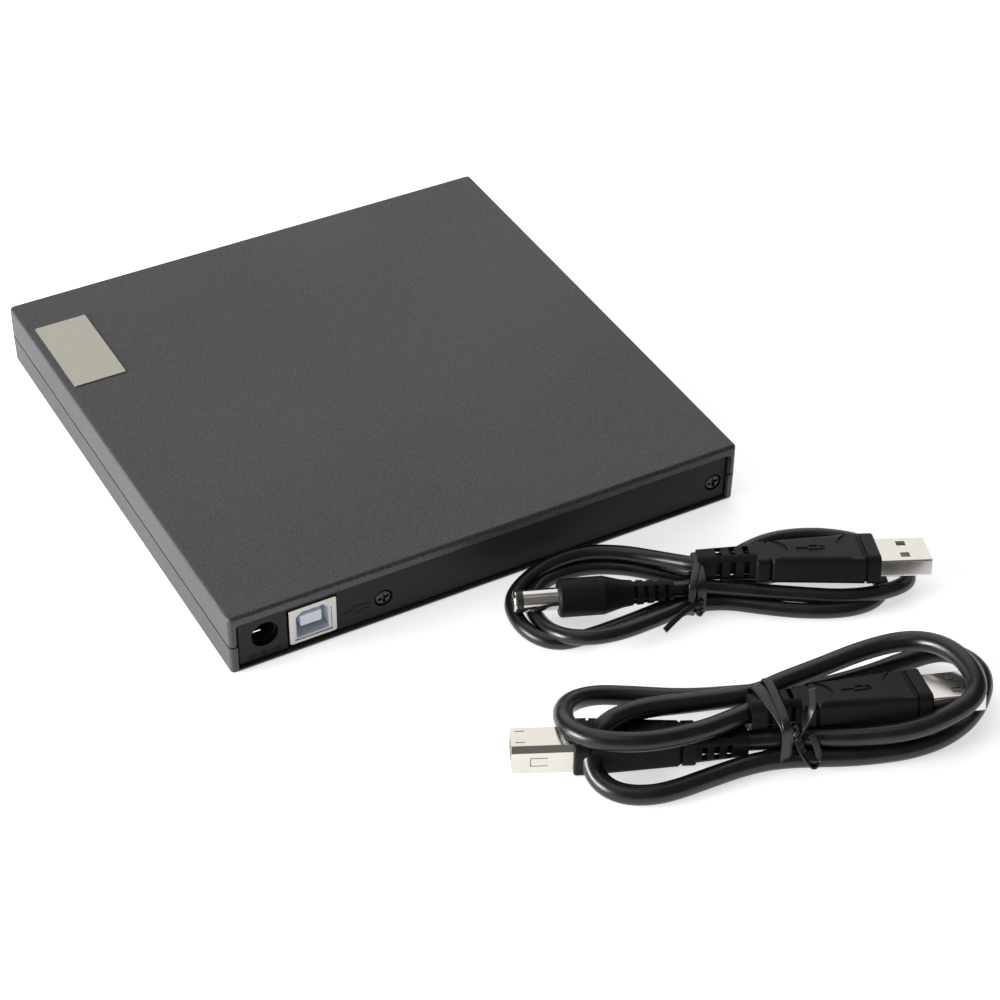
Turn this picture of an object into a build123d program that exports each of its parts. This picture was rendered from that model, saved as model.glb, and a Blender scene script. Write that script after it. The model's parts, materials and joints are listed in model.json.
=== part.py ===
from build123d import *
import math
import os

# External slim optical drive with its two tied cables. Millimetres, +Z up.
# Origin: centre of the case's footprint, on the plane under the rubber feet.
# The tray opens towards -Y; the sockets are in the rear panel, at +Y.

# Case
WIDTH = 141.0
DEPTH = 144.0
HEIGHT = 17.5
FOOT_PROUD = 0.25
SPLIT_Z = 8.4
SPLIT_GAP = 0.5
WALL = 2.0
FRONT_WALL = 2.4
FLOOR = 1.4
ROOF = 1.6
PLAN_RADIUS = 1.2
TOP_FILLET = 1.0
BASE_INSET = 0.15
BASE_FILLET = 0.6
LIP_Z = 14.5
LIP_DEPTH = 2.8
LIP_STEP = 0.45
CLEAR = 0.5

HALF_W = WIDTH / 2
HALF_D = DEPTH / 2
INNER_X = HALF_W - WALL
FLOOR_TOP = FOOT_PROUD + FLOOR
ROOF_UNDER = HEIGHT - ROOF
FRONT_INNER = -HALF_D + FRONT_WALL
LOWER_RIM = SPLIT_Z - SPLIT_GAP / 2
UPPER_RIM = SPLIT_Z + SPLIT_GAP / 2
TONGUE = 0.9
TONGUE_TOP = 9.6

# Rear panel and what sits in it
PANEL_X = 68.0
PANEL_LOW = 1.5
PANEL_TOP = 14.2
PANEL_GAP = 0.4
PANEL_BACK = 69.4
PANEL_FACE = 71.0
SCREW_X = (29.6, -64.5)
SCREW_Z = 6.9
SCREW_HEAD_R = 2.05
SCREW_HEAD_H = 0.9
SCREW_SEAT = 1.0
USB_B_X = 48.5
USB_B_Z = 7.7
USB_B_W = 12.6
USB_B_H = 10.9
USB_B_DEPTH = 13.1
USB_B_FACE = PANEL_FACE + 0.3
B_CAVITY = (8.7, 7.7, 1.35)
DC_X = 61.05
DC_Z = 8.6
DC_HOLE_R = 3.55
DC_BORE_R = 3.2
DC_PIN_R = 1.0
MARK_PROUD = 0.12
MARK_LINE = 0.22
USB_B_PINS = tuple(
    (USB_B_X + side * 1.25, USB_B_Z + low, USB_B_Z + high)
    for side in (1, -1)
    for low, high in ((1.3, 1.7), (-1.7, -1.3))
)

# Badge, feet
BADGE_CENTRE = (61.1, -44.0)
BADGE_SIZE = (14.4, 29.0)
BADGE_THICK = 0.25
FEET = ((56, 58), (-56, 58), (56, -58), (-56, -58))
FOOT_R = 4.5
FOOT_SEAT = 0.6

# Slim drive: a 128 x 127 x 12.7 mm laptop drive
DRIVE_X = 64.0
DRIVE_BASE = 2.5
DRIVE_TOP = DRIVE_BASE + 12.7
DRIVE_FRONT = -68.4
DRIVE_REAR = 55.4
SHEET = 0.6
SIDE_SHEET = 0.8
LID_SCREWS = ((60.2, -60.0), (60.2, 48.0), (-60.2, -60.0), (-60.2, 48.0))
BEZEL_FACE = -71.6
BEZEL_BACK = -69.0
BAY_X = DRIVE_X + 0.4

# Tray and rails
TRAY_X = 60.9
TRAY_REAR = 50.0
TRAY_LOW = 4.6
DECK_UNDER = 10.0
DECK_TOP = 11.2
RIM_TOP = 13.2
SKIRT = 2.0
DISC_R = 60.2
SMALL_DISC_R = 41.0
SPINDLE_Y = -8.0
CLAW_ANGLES = (90, 210, 330)
MAIN_POSTS = ((25.0, -41.0), (54.0, -41.0), (25.0, 31.0), (54.0, 31.0))
RAIL_LOW = 6.0
RAIL_TOP = 11.0
RAIL_FRONT = -66.0
RAIL_REAR = 54.0

# Front controls
BUTTON_X = 38.0
BUTTON_Z = 8.3
BUTTON_W = 10.0
BUTTON_H = 3.4
LED_X = 27.0
PINHOLE_X = 48.5

# Latch: the peg swings 14 degrees to hook behind the chassis pin
PIVOT = (30.0, -50.0)
PEG_ARM = 12.0
LATCH_SWING = 14.0
LATCH_PIN = (
    PIVOT[0] + PEG_ARM * math.sin(math.radians(LATCH_SWING)),
    PIVOT[1] - PEG_ARM * math.cos(math.radians(LATCH_SWING)) - 2.35,
)

# Pickup mechanism, laid out along a line at 135 degrees through the spindle
MECH_ANGLE = 135.0
ROD_T = 12.5
ROD_Z = 7.2
ROD_R = 1.0
SCREW_T = 17.5
LENS_S = 24.0

# Boards
BOARD_UNDER = 3.4
BOARD_TOP = 4.6
BOARD_FRONT = 56.2
BOARD_POSTS = ((-11.0, 66.0), (37.4, 58.6), (62.0, 66.6))

# Cables: one carries power from a USB socket to the round jack, one is the data lead
POWER_TIP = Vector(2.3, 86.5, 6.3)
POWER_HEADING = Vector(-0.929, 0.369, 0)
POWER_USB_TIP = Vector(-94.2, 122.2, 8.8)
POWER_USB_HEADING = Vector(0.906, -0.423, 0)
POWER_USB_ROLL = 13.0
POWER_TIE = (-41.3, 100.9)
POWER_TIE_SIZE = (14.6, 11.4)
DATA_B_TIP = Vector(26.6, 129.1, 5.0)
DATA_B_HEADING = Vector(-0.9036, 0.4284, 0)
DATA_USB_TIP = Vector(-75.8, 167.45, 9.8)
DATA_USB_HEADING = Vector(0.9386, -0.3452, 0)
DATA_USB_ROLL = 15.0
DATA_TIE = (-28.6, 152.2)
DATA_TIE_SIZE = (18.4, 14.6)
TIE_WIDTH = 3.4
TIE_SHEET = 0.5
USB_A_SHELL = 12.6
USB_A_WIDTH = 14.6
USB_A_THICK = 7.4
USB_A_BODY = 30.4
POWER_RELIEF = (14.0, 3.7, 3.2)
DATA_RELIEF = (11.3, 4.0, 3.7)
USB_B_PLUG = (8.4, 7.6, 1.25)
USB_B_SHEET = 0.4
USB_B_SHELL = 14.1
USB_B_BODY = 28.2
USB_B_WIDTH = 11.0
USB_B_THICK = 9.2
USB_B_RELIEF = (12.0, 3.8, 3.0)
DC_PLUG_BARREL = 10.9
DC_PLUG_GRIP = 17.9
DC_PLUG_RELIEF = 10.4


# Small helpers

def block(x0, x1, y0, y1, z0, z1):
    """A box between two corners."""
    size = Box(x1 - x0, y1 - y0, z1 - z0)
    return Pos((x0 + x1) / 2, (y0 + y1) / 2, (z0 + z1) / 2) * size


def post(x, y, z0, z1, radius):
    """A cylinder along Z."""
    return Pos(x, y, (z0 + z1) / 2) * Cylinder(radius, z1 - z0)


def rod_y(x, z, y0, y1, radius):
    """A cylinder along Y."""
    return Pos(x, (y0 + y1) / 2, z) * Rot(90, 0, 0) * Cylinder(radius, y1 - y0)


def rod_x(y, z, x0, x1, radius):
    """A cylinder along X."""
    return Pos((x0 + x1) / 2, y, z) * Rot(0, 90, 0) * Cylinder(radius, x1 - x0)


def prism_z(sketch, z0, z1):
    """A flat outline pulled up from z0 to z1."""
    return Pos(0, 0, z0) * extrude(sketch, z1 - z0)


def mech(shape):
    """Turns a piece from spindle coordinates (s outward, t across) into the drive's frame."""
    return Pos(0, SPINDLE_Y, 0) * Rot(0, 0, MECH_ANGLE) * shape


def mirrored(shape, side):
    """The piece itself for the right side, its mirror image for the left."""
    return shape if side > 0 else mirror(shape, about=Plane.YZ)


# Case

def bottom_cover():
    height = LOWER_RIM - FOOT_PROUD
    taper = math.degrees(math.atan(BASE_INSET / height))
    rim = RectangleRounded(WIDTH, DEPTH, PLAN_RADIUS)
    shell = Pos(0, 0, LOWER_RIM) * extrude(rim, -height, taper=taper)
    shell = fillet(shell.edges().group_by(Axis.Z)[0], BASE_FILLET)
    shell -= block(-INNER_X, INNER_X, FRONT_INNER, HALF_D + 1, FLOOR_TOP, LOWER_RIM + 1)
    shell -= block(-BAY_X, BAY_X, -HALF_D - 1, FRONT_INNER + 1, DRIVE_BASE - 0.4, LOWER_RIM + 1)
    for side in (1, -1):
        tongue = block(INNER_X, INNER_X + TONGUE, FRONT_INNER, PANEL_BACK - 1, FLOOR_TOP, TONGUE_TOP)
        shell += mirrored(tongue, side)
        guide = block(DRIVE_X + 0.3, DRIVE_X + 1.5, -62, 50, FLOOR_TOP, 8.0)
        shell += mirrored(guide, side)
    for x in (-45, 0, 45):
        shell += block(x - 1.5, x + 1.5, -60, 50, FLOOR_TOP, DRIVE_BASE)
    for x in SCREW_X:
        boss = block(x - 3.3, x + 3.3, 60.0, PANEL_BACK, FLOOR_TOP, 11.0)
        shell += boss - rod_y(x, SCREW_Z, 61.0, PANEL_BACK + 1, 1.15)
    for x, y in BOARD_POSTS:
        shell += post(x, y, FLOOR_TOP, BOARD_UNDER, 2.0)
        shell += post(x, y, BOARD_UNDER, BOARD_TOP + 0.8, 0.8)
    for x, y in FEET:
        shell -= post(x, y, FOOT_PROUD - 1, FOOT_PROUD + FOOT_SEAT, FOOT_R + 0.1)
    rebate = PANEL_LOW - PANEL_GAP
    return shell - block(-INNER_X, INNER_X, PANEL_BACK - 0.3, HALF_D + 1, rebate, FLOOR_TOP + 0.01)


def top_cover():
    rim = RectangleRounded(WIDTH, DEPTH, PLAN_RADIUS)
    shell = prism_z(rim, UPPER_RIM, HEIGHT)
    shell = fillet(shell.edges().group_by(Axis.Z)[-1], TOP_FILLET)
    lip_inner = HALF_D - LIP_DEPTH
    shell -= block(-INNER_X, INNER_X, FRONT_INNER, lip_inner, UPPER_RIM - 1, ROOF_UNDER)
    opening = block(-INNER_X, INNER_X, lip_inner - 1, HALF_D + 1, UPPER_RIM - 3, LIP_Z)
    shell -= fillet(opening.edges().filter_by(Axis.Y).group_by(Axis.Z)[-1], 1.0)
    half_step = INNER_X + LIP_STEP
    step = block(-half_step, half_step, HALF_D - LIP_STEP, HALF_D + 1, UPPER_RIM - 3, LIP_Z + LIP_STEP)
    shell -= fillet(step.edges().filter_by(Axis.Y).group_by(Axis.Z)[-1], 1.2)
    shell -= block(-BAY_X, BAY_X, -HALF_D - 1, FRONT_INNER + 1, UPPER_RIM - 1, DRIVE_TOP + 0.4)
    for side in (1, -1):
        rebate = block(
            INNER_X - 1, INNER_X + TONGUE + 0.1, FRONT_INNER, lip_inner, UPPER_RIM - 1, TONGUE_TOP
        )
        shell -= mirrored(rebate, side)
    for x in (-45, 45):
        shell += block(x - 1, x + 1, -60, 50, DRIVE_TOP, ROOF_UNDER)
    return shell


def rear_panel():
    panel = block(-PANEL_X, PANEL_X, PANEL_BACK, PANEL_FACE, PANEL_LOW, PANEL_TOP)
    panel = fillet(panel.edges().filter_by(Axis.Y), 0.8)
    panel = chamfer(panel.faces().sort_by(Axis.Y)[-1].edges(), 0.2)
    left, right = USB_B_X - USB_B_W / 2 - 0.15, USB_B_X + USB_B_W / 2 + CLEAR
    top = USB_B_Z + USB_B_H / 2 + 0.25
    panel -= block(left, right, PANEL_BACK - 1, PANEL_FACE + 1, PANEL_LOW - 1, top)
    panel -= rod_y(DC_X, DC_Z, PANEL_BACK - 1, PANEL_FACE + 1, DC_HOLE_R)
    for x in SCREW_X:
        panel -= rod_y(x, SCREW_Z, PANEL_BACK - 1, PANEL_FACE + 1, 1.2)
        panel -= rod_y(x, SCREW_Z, PANEL_FACE - SCREW_SEAT, PANEL_FACE + 1, 2.45)
    return panel + polarity_marks() + data_mark()


def raised(sketch, x, z):
    """A flat XZ mark standing a little proud of the panel; seen from behind, +X is to the left."""
    return along_y(sketch, x, z, PANEL_FACE - 0.2, PANEL_FACE + MARK_PROUD)


def ring(radius):
    return Circle(radius) - Circle(radius - 0.2)


def polarity_marks():
    """Direct current and centre-positive signs under the round socket."""
    z = 2.75
    marks = raised(Pos(0, 0.5) * Rectangle(1.9, MARK_LINE), 64.4, z)
    for x in (-0.7, 0, 0.7):
        marks += raised(Pos(x, -0.1) * Rectangle(0.42, MARK_LINE), 64.4, z)
    minus = Rectangle(1.0, MARK_LINE)
    plus = minus + Rectangle(MARK_LINE, 1.0)
    marks += raised(ring(0.85) + minus, 61.5, z)
    marks += raised(Rectangle(1.1, MARK_LINE), 59.9, z)
    marks += raised(Circle(0.32), 59.2, z)
    marks += raised(ring(0.85) + plus, 57.5, z)
    return marks


def data_mark():
    """A plain plug pictogram between the square socket and the screw."""
    outline = Rectangle(2.9, 2.4) - Rectangle(2.4, 1.9)
    outline += Pos(3.0, 0) * Rectangle(3.3, 0.28)
    for z in (0.6, -0.6):
        outline += Pos(-2.3, z) * Rectangle(1.9, 0.28)
    return raised(outline, 36.4, 6.2)


def cross_recess(radius):
    """The cross-shaped pocket of a Phillips head, pointing along +Z from z = 0."""
    arms = Box(radius, 0.26 * radius, 0.7) + Box(0.26 * radius, radius, 0.7)
    return Pos(0, 0, -0.35) * Rot(0, 0, 12) * (arms + Cylinder(0.24 * radius, 0.7))


def rear_screws():
    seat = PANEL_FACE - SCREW_SEAT
    screws = []
    for x in SCREW_X:
        head = Cylinder(SCREW_HEAD_R, SCREW_HEAD_H)
        head = fillet(head.edges().group_by(Axis.Z)[-1], 0.45)
        head -= Pos(0, 0, SCREW_HEAD_H / 2 + 0.05) * cross_recess(1.5 * SCREW_HEAD_R)
        head = Pos(x, seat + SCREW_HEAD_H / 2, SCREW_Z) * Rot(-90, 0, 0) * head
        screws.append(head + rod_y(x, SCREW_Z, 62.0, seat, 1.05))
    return screws


def rubber_feet():
    feet = []
    for x, y in FEET:
        foot = post(x, y, 0, FOOT_PROUD + FOOT_SEAT, FOOT_R)
        feet.append(fillet(foot.edges().group_by(Axis.Z)[0], 0.2))
    return feet


def badge_plate():
    plate = Pos(*BADGE_CENTRE, HEIGHT) * extrude(RectangleRounded(*BADGE_SIZE, 0.5), BADGE_THICK)
    return chamfer(plate.edges().group_by(Axis.Z)[-1], 0.1)


# Sockets in the rear panel

def chamfered_outline(width, height, cut):
    """A rectangle in XZ whose two upper corners are cut off."""
    w, h = width / 2, height / 2
    corners = [(-w, -h), (w, -h), (w, h - cut), (w - cut, h), (-w + cut, h), (-w, h - cut)]
    return make_face(Polyline(*corners, close=True))


def along_y(sketch, x, z, y0, y1):
    """Pulls an XZ outline, drawn about its centre, from y0 to y1."""
    solid = extrude(Plane.XZ * sketch, y1 - y0, dir=(0, 1, 0))
    return Pos(x, y0, z) * solid


def usb_b_shell():
    rear = USB_B_FACE - USB_B_DEPTH
    shell = block(
        USB_B_X - USB_B_W / 2, USB_B_X + USB_B_W / 2, rear, USB_B_FACE,
        USB_B_Z - USB_B_H / 2, USB_B_Z + USB_B_H / 2,
    )
    shell = fillet(shell.edges().filter_by(Axis.Y), 0.7)
    shell = fillet(shell.faces().sort_by(Axis.Y)[-1].edges(), 0.25)
    mouth = chamfered_outline(9.9, 8.8, 1.9)
    return shell - along_y(mouth, USB_B_X, USB_B_Z - 0.1, rear + 0.5, USB_B_FACE + 1)


def usb_b_insert():
    rear = USB_B_FACE - USB_B_DEPTH + 0.5
    face = USB_B_FACE - 0.35
    body = along_y(chamfered_outline(9.8, 8.7, 1.9), USB_B_X, USB_B_Z - 0.1, rear, face)
    body -= along_y(chamfered_outline(*B_CAVITY), USB_B_X, USB_B_Z - 0.1, rear + 1.2, face + 1)
    tongue = block(USB_B_X - 2.8, USB_B_X + 2.8, rear, face - 1.0, USB_B_Z - 1.6, USB_B_Z + 1.6)
    body += fillet(tongue.edges().filter_by(Axis.Y), 0.2)
    for x, z0, z1 in USB_B_PINS:
        body -= block(x - 0.65, x + 0.65, rear + 1.2, face - 2.0, z0 - 0.1, z1 + 0.1)
    return body


def usb_b_contacts():
    rear = USB_B_FACE - USB_B_DEPTH + 0.5
    return [block(x - 0.5, x + 0.5, rear + 1.3, USB_B_FACE - 2.6, z0, z1) for x, z0, z1 in USB_B_PINS]


def dc_jack_body():
    body = block(DC_X - 4.5, DC_X + 4.5, 57.0, PANEL_BACK, BOARD_TOP, DC_Z + 4.3)
    body = fillet(body.edges().filter_by(Axis.Y).group_by(Axis.Z)[-1], 0.8)
    body -= rod_y(DC_X, DC_Z, 59.5, PANEL_BACK + 1, DC_BORE_R)
    body -= rod_y(DC_X, DC_Z, 57.8, 60.0, DC_PIN_R + 0.05)
    body -= block(DC_X, DC_X + 3.9, 66.3, PANEL_BACK + 1, DC_Z + 0.05, DC_Z + 0.65)
    for x, y in BOARD_POSTS:
        body -= post(x, y, BOARD_TOP - 1, BOARD_TOP + 1.0, 1.1)
    return body


def dc_jack_pin():
    pin = rod_y(DC_X, DC_Z, 57.8, 66.0, DC_PIN_R)
    return fillet(pin.faces().sort_by(Axis.Y)[-1].edges(), 0.4)


def dc_jack_spring():
    """Flat earth contact at the jack's mouth, seated in a slot of its wall."""
    return block(DC_X + 0.4, DC_X + 3.8, 66.4, PANEL_BACK, DC_Z + 0.15, DC_Z + 0.5)


# Bridge board between the sockets and the drive

def bridge_board():
    board = block(-15, 66, BOARD_FRONT, PANEL_BACK - 0.2, BOARD_UNDER, BOARD_TOP)
    x = SCREW_X[0]
    board -= block(x - 3.6, x + 3.6, 59.7, PANEL_BACK + 1, BOARD_UNDER - 1, BOARD_TOP + 1)
    usb_half = USB_B_W / 2 + 0.2
    board -= block(
        USB_B_X - usb_half, USB_B_X + usb_half, USB_B_FACE - USB_B_DEPTH - 0.2, PANEL_BACK + 1,
        BOARD_UNDER - 1, BOARD_TOP + 1,
    )
    for x, y in BOARD_POSTS:
        board -= post(x, y, BOARD_UNDER - 1, BOARD_TOP + 1, 0.9)
    return board


def bridge_parts():
    """Bridge chip, crystal and capacitors, soldered on the bridge board."""
    chip = block(6, 13, 62.0, 68.4, BOARD_TOP, BOARD_TOP + 1.2)
    crystal = block(-3.5, 1.5, 63.5, 66.7, BOARD_TOP, BOARD_TOP + 1.1)
    parts = [chip, crystal]
    parts += [post(x, 63.0, BOARD_TOP, BOARD_TOP + 5.0, 2.0) for x in (17.5, 22.0, 36.5)]
    for x in (-12.0, -9.0, 23.5, 27.0):
        parts.append(block(x, x + 1.6, 58.0, 58.8, BOARD_TOP, BOARD_TOP + 0.6))
    return parts


def sata_socket():
    body = block(-4.4, 20.4, 55.6, 61.0, BOARD_TOP, 9.2)
    return body - block(-2.4, 18.4, 55.0, 59.5, 6.6, 7.8)


# Drive: fixed pieces

def drive_chassis():
    pan = block(-DRIVE_X, DRIVE_X, DRIVE_FRONT, DRIVE_REAR, DRIVE_BASE, DRIVE_BASE + SHEET)
    top = DRIVE_TOP - SHEET
    for side in (1, -1):
        wall = block(DRIVE_X - SIDE_SHEET, DRIVE_X, DRIVE_FRONT, DRIVE_REAR, DRIVE_BASE, top)
        pan += mirrored(wall, side)
        for x, y in LID_SCREWS[:2]:
            tab = block(x - 2.5, DRIVE_X, y - 3, y + 3, top - 0.6, top)
            tab -= post(x, y, top - 1, top + 1, 0.85)
            pan += mirrored(tab, side)
    pan += block(-DRIVE_X, DRIVE_X, DRIVE_REAR - SIDE_SHEET, DRIVE_REAR, DRIVE_BASE, top)
    pan -= block(-4.6, 20.6, DRIVE_REAR - 2, DRIVE_REAR + 1, DRIVE_BASE + SHEET + 1.0, 9.4)
    pan += post(*LATCH_PIN, DRIVE_BASE, 4.0, 1.2)
    return pan


def drive_lid():
    lid = block(-DRIVE_X, DRIVE_X, DRIVE_FRONT, DRIVE_REAR, DRIVE_TOP - SHEET, DRIVE_TOP)
    for x, y in LID_SCREWS:
        lid -= post(x, y, DRIVE_TOP - 1, DRIVE_TOP + 1, 0.85)
    return lid


def lid_screws():
    screws = []
    for x, y in LID_SCREWS:
        head = post(x, y, DRIVE_TOP, DRIVE_TOP + 0.6, 1.6)
        head -= Pos(x, y, DRIVE_TOP + 0.55) * cross_recess(2.2)
        screws.append(head + post(x, y, DRIVE_TOP - 1.4, DRIVE_TOP, 0.8))
    return screws


def rail_channel(side):
    wall = DRIVE_X - SIDE_SHEET
    rail = block(wall - 1.6, wall, RAIL_FRONT - 1, RAIL_REAR + 0.5, RAIL_LOW, RAIL_TOP)
    rail -= block(wall - 2, wall - 0.6, RAIL_FRONT - 2, RAIL_REAR + 2, RAIL_LOW + 0.6, RAIL_TOP - 0.6)
    return mirrored(rail, side)


def slide_rail(side):
    middle = (RAIL_LOW + RAIL_TOP) / 2
    rail = block(61.3, 62.4, RAIL_FRONT, RAIL_REAR, RAIL_LOW + 0.8, RAIL_TOP - 0.8)
    rail += block(60.6, 61.4, RAIL_FRONT, RAIL_REAR, middle - 0.4, middle + 0.4)
    return mirrored(rail, side)


def interface_board():
    return block(-12, 40, 43.0, DRIVE_REAR - 1.0, DRIVE_BASE + SHEET, DRIVE_BASE + SHEET + 1.0)


def drive_connector():
    body = block(-4, 20, 49.0, DRIVE_REAR, DRIVE_BASE + SHEET + 1.0, 9.0)
    return body - block(-2, 18, 53.0, DRIVE_REAR + 1, 6.2, 8.2)


def flex_cable():
    """Flat cable that lies folded once on the pan's floor under the tray."""
    low = 3.15
    foil = 0.15
    gap = 0.45
    fold = low + foil + gap / 2
    cable = block(24, 38, -20, 42.9, low, low + foil)
    cable += block(24, 38, -20, 10, low + foil + gap, low + 2 * foil + gap)
    bend = rod_x(-20, fold, 24, 38, gap / 2 + foil) - rod_x(-20, fold, 23, 39, gap / 2)
    return cable + (bend & block(23, 39, -21, -20, low - 1, low + 2))


# Tray and what it carries

def hub_window():
    """The opening in the tray's deck over the spindle and the pickup's path."""
    window = post(0, 0, DECK_UNDER - 1, RIM_TOP + 1, 18.0)
    window += block(10, 57, -12, 12, DECK_UNDER - 1, RIM_TOP + 1)
    window += block(50, 62.5, -6.6, 6.6, DECK_UNDER - 1, RIM_TOP + 1)
    return mech(window)


def tray():
    body = block(-TRAY_X, TRAY_X, BEZEL_BACK, TRAY_REAR, TRAY_LOW, RIM_TOP)
    inner = TRAY_X - SKIRT
    body -= block(-inner, inner, BEZEL_BACK + 2, TRAY_REAR + 1, TRAY_LOW - 1, DECK_UNDER)
    body -= post(0, SPINDLE_Y, DECK_TOP, RIM_TOP + 1, DISC_R)
    body -= post(0, SPINDLE_Y, DECK_TOP - 0.5, RIM_TOP + 1, SMALL_DISC_R)
    body -= hub_window()
    middle = (RAIL_LOW + RAIL_TOP) / 2
    for side in (1, -1):
        groove = block(TRAY_X - 0.6, TRAY_X + 1, BEZEL_BACK - 1, TRAY_REAR + 1, middle - 0.7, middle + 0.7)
        body -= mirrored(groove, side)
    body -= block(
        BUTTON_X - 6.1, BUTTON_X + 6.1, BEZEL_BACK - 1, BEZEL_BACK + 3, BUTTON_Z - 2.8, BUTTON_Z + 1.9
    )
    body -= rod_y(LED_X, BUTTON_Z, BEZEL_BACK - 1, BEZEL_BACK + 3, 0.95)
    body -= rod_y(PINHOLE_X, BUTTON_Z, BEZEL_BACK - 1, BEZEL_BACK + 3, 0.7)
    for x, y in MAIN_POSTS:
        body += post(x, y, 7.0, DECK_UNDER, 2.0)
    body += post(*PIVOT, TRAY_LOW, DECK_UNDER, 1.0)
    bearing = block(60, 62, 15.8, 19.2, 5.6, DECK_UNDER) - rod_x(SCREW_T, ROD_Z, 59, 63, ROD_R + 0.05)
    return body + mech(bearing)


def front_bezel():
    bezel = block(-63.9, 63.9, BEZEL_FACE, BEZEL_BACK, DRIVE_BASE, DRIVE_TOP)
    bezel = fillet(bezel.edges().filter_by(Axis.Y), 0.8)
    bezel = fillet(bezel.faces().sort_by(Axis.Y)[0].edges(), 0.5)
    half_w, half_h = BUTTON_W / 2 + 0.2, BUTTON_H / 2 + 0.2
    hole = block(
        BUTTON_X - half_w, BUTTON_X + half_w, BEZEL_FACE - 1, BEZEL_BACK + 1,
        BUTTON_Z - half_h, BUTTON_Z + half_h,
    )
    bezel -= fillet(hole.edges().filter_by(Axis.Y), 0.9)
    bezel -= rod_y(LED_X, BUTTON_Z, BEZEL_FACE - 1, BEZEL_BACK + 1, 0.95)
    bezel -= rod_y(PINHOLE_X, BUTTON_Z, BEZEL_FACE - 1, BEZEL_BACK + 1, 0.7)
    return bezel


def eject_button():
    cap = block(
        BUTTON_X - BUTTON_W / 2, BUTTON_X + BUTTON_W / 2, -HALF_D, BEZEL_BACK + 0.1,
        BUTTON_Z - BUTTON_H / 2, BUTTON_Z + BUTTON_H / 2,
    )
    cap = fillet(cap.edges().filter_by(Axis.Y), 0.7)
    cap = fillet(cap.faces().sort_by(Axis.Y)[0].edges(), 0.3)
    flange = block(
        BUTTON_X - 5.6, BUTTON_X + 5.6, BEZEL_BACK + 0.08, BEZEL_BACK + 0.7,
        BUTTON_Z - 2.3, BUTTON_Z + 1.2,
    )
    stem = block(
        BUTTON_X - 1.5, BUTTON_X + 1.5, BEZEL_BACK + 0.5, BEZEL_BACK + 3.0,
        BUTTON_Z - 1, BUTTON_Z + 0.6,
    )
    return cap + flange + stem


def led_lens():
    lens = rod_y(LED_X, BUTTON_Z, BEZEL_FACE - 0.1, BEZEL_BACK + 2.4, 0.9)
    return fillet(lens.faces().sort_by(Axis.Y)[0].edges(), 0.3)


def tray_plate():
    plate = block(-58.5, 58.5, BEZEL_BACK + 2.2, 40, 4.2, TRAY_LOW)
    return plate - block(27.2, 36.4, -66, -57.5, 4, 5)


def mech_plate():
    plate = block(-15, 64.5, -15.5, 14.5, 9.0, 9.6)
    plate = fillet(plate.edges().filter_by(Axis.Z), 3)
    plate -= post(0, 0, 8, 11, 12.8)
    plate -= block(13.5, 62.2, -10.6, 10.6, 8, 11)
    for t in (ROD_T, -ROD_T):
        for s in (10.1, 58.6):
            bracket = block(s, s + 2.3, t - 1.6, t + 1.8, 5.9, 9.0)
            plate += bracket - rod_x(t, ROD_Z, s - 1, s + 4, ROD_R)
    return mech(plate)


def main_board():
    """Tray board and the two chips soldered under it."""
    board = block(22, 57, -44, 34, 6.0, 7.0)
    chips = [block(32, 44, -20, -8, 4.9, 6.0), block(34, 44, 8, 18, 5.0, 6.0)]
    return [board] + chips


def spindle_motor():
    motor = post(0, 0, TRAY_LOW, 8.5, 11.0) + post(0, 0, 8.5, 9.0, 14.5)
    return mech(motor - post(0, 0, TRAY_LOW + 0.2, 10, ROD_R + 0.05))


def turntable():
    """Rotor, platter and the boss that centres a disc, on the motor's shaft."""
    spin = post(0, 0, 9.25, 10.4, 12.0) + post(0, 0, 10.4, 11.4, 14.5)
    boss = post(0, 0, 11.4, 13.7, 7.35)
    boss = fillet(boss.edges().group_by(Axis.Z)[-1], 0.7)
    spin += boss
    spin += post(0, 0, TRAY_LOW + 0.4, 9.3, ROD_R)
    for angle in CLAW_ANGLES:
        spin -= Rot(0, 0, angle) * block(4.2, 9, -1.25, 1.25, 12.0, 13.5)
    return Pos(0, SPINDLE_Y, 0) * spin


def hub_claw(angle):
    claw = block(4.9, 7.7, -1.1, 1.1, 12.15, 13.35)
    claw = chamfer(claw.faces().sort_by(Axis.X)[-1].edges().filter_by(Axis.Y), 0.4)
    return Pos(0, SPINDLE_Y, 0) * Rot(0, 0, angle) * claw


def guide_rods():
    return [mech(rod_x(t, ROD_Z, 10.2, 60.8, ROD_R - 0.02)) for t in (ROD_T, -ROD_T)]


def pickup_sled():
    sled = block(12.5, 32.5, -10, 10, 5.4, 8.2)
    sled = chamfer(sled.edges().filter_by(Axis.Z), 1.5)
    sled += block(14, 22, 9.5, 14.2, 6.0, 8.3) + block(14, 22, -14.2, -9.5, 6.0, 8.3)
    sled += block(16, 20, 14.0, 19.0, 6.0, 8.4)
    for t in (ROD_T, -ROD_T, SCREW_T):
        sled -= rod_x(t, ROD_Z, 10, 35, ROD_R + 0.08)
    return mech(sled)


def lens_holder():
    holder = block(LENS_S - 3.5, LENS_S + 3.5, -5.5, 5.5, 8.6, 9.7)
    holder = fillet(holder.edges().filter_by(Axis.Z), 1.2)
    lens = Pos(LENS_S, 0, 9.7) * (Cylinder(2.3, 0.3) + Pos(0, 0, -1.9) * Sphere(2.6))
    lens &= block(LENS_S - 3, LENS_S + 3, -3, 3, 9.6, 10.6)
    return mech(holder + lens)


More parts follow.
